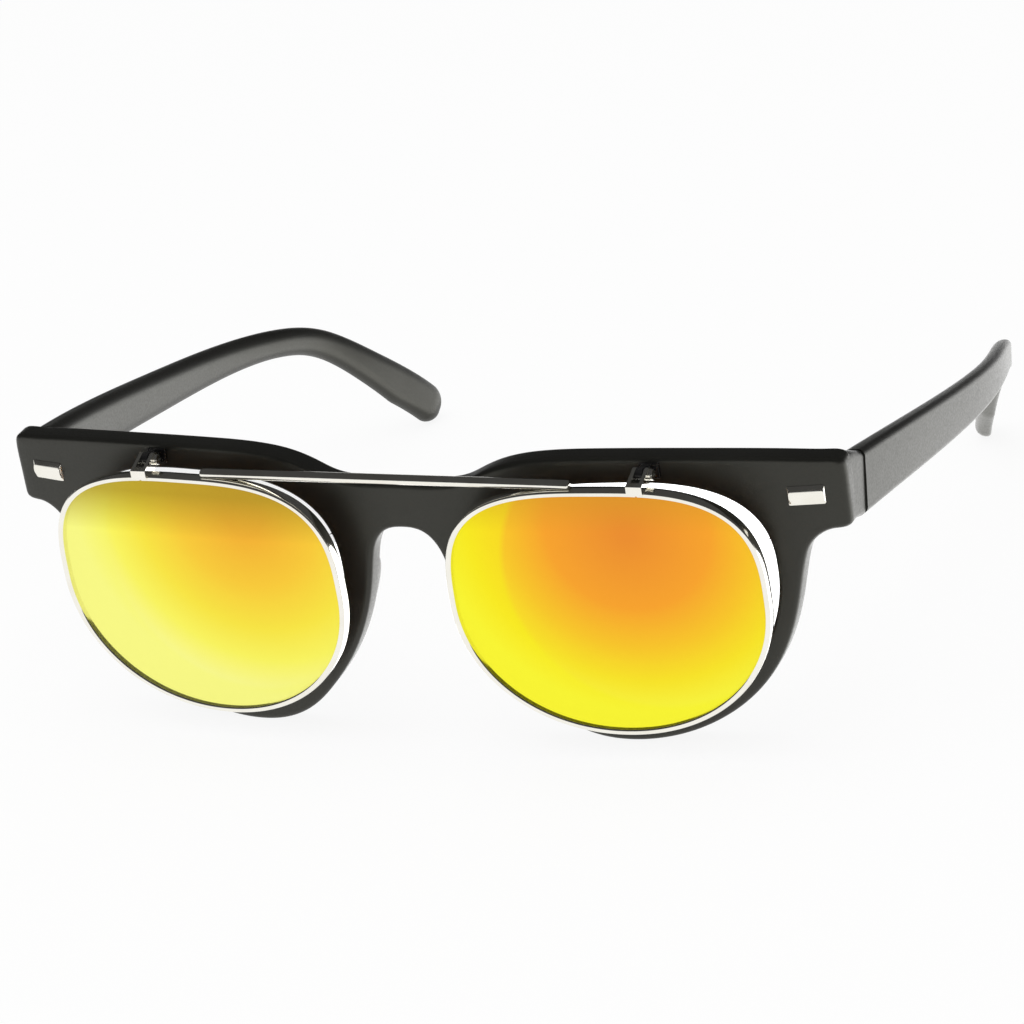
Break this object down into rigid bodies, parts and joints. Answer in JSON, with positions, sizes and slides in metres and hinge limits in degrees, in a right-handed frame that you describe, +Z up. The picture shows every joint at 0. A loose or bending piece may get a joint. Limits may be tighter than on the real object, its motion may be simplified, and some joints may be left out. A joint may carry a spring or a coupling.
{
  "type": "flip up sunglasses",
  "caption": "Black plastic glasses with clear lenses, folding side arms and a bright wire carrier of gold mirror lenses that flips up on small brow hinges.",
  "frame": {"origin": "on the resting plane, under the middle of the overall box", "axes": "+X to the viewer's right across the front, +Y from the front towards the temple tips, +Z up"},
  "size_m": [0.1486, 0.1424, 0.0501],
  "materials": {
    "black_plastic": "fine matte moulded",
    "clear_plastic": "clear polished",
    "gold_mirror": "gold mirror coat",
    "bright_metal": "polished plate",
    "dark_metal": "gloss black",
    "steel": "plain"
  },
  "bodies": {
    "frame": {"clear_lens_left": "clear_plastic", "clear_lens_right": "clear_plastic", "end_plaque_left": "bright_metal", "end_plaque_right": "bright_metal", "flip_bracket_left": "dark_metal", "flip_bracket_right": "dark_metal", "frame_front": "black_plastic", "front_hinge_leaf_left": "steel", "front_hinge_leaf_right": "steel", "temple_hinge_screw_left": "steel", "temple_hinge_screw_right": "steel"},
    "flip_carrier": {"brow_bar": "bright_metal", "flip_fork_left": "bright_metal", "flip_fork_right": "bright_metal", "flip_rim_left": "bright_metal", "flip_rim_right": "bright_metal", "flip_screw_left": "bright_metal", "flip_screw_right": "bright_metal", "flip_washer_left": "steel", "flip_washer_right": "steel", "mirror_lens_left": "gold_mirror", "mirror_lens_right": "gold_mirror"},
    "temple_left_arm": {"temple_hinge_leaf_left": "steel", "temple_left": "black_plastic"},
    "temple_right_arm": {"temple_hinge_leaf_right": "steel", "temple_right": "black_plastic"}
  },
  "joints": [
    {"name": "flip_up", "type": "hinge", "parent": "frame", "child": "flip_carrier", "pos_m": [0, -0.06594, 0.0484], "axis": [-1, 0, 0], "range_deg": [0, 95]},
    {"name": "temple_right_fold", "type": "hinge", "parent": "frame", "child": "temple_right_arm", "pos_m": [0.06605, -0.04938, 0.04095], "axis": [0, 0.1637, 0.9865], "range_deg": [0, 72]},
    {"name": "temple_left_fold", "type": "hinge", "parent": "frame", "child": "temple_left_arm", "pos_m": [-0.06605, -0.04938, 0.04095], "axis": [0, -0.1637, -0.9865], "range_deg": [0, 82]}
  ]
}
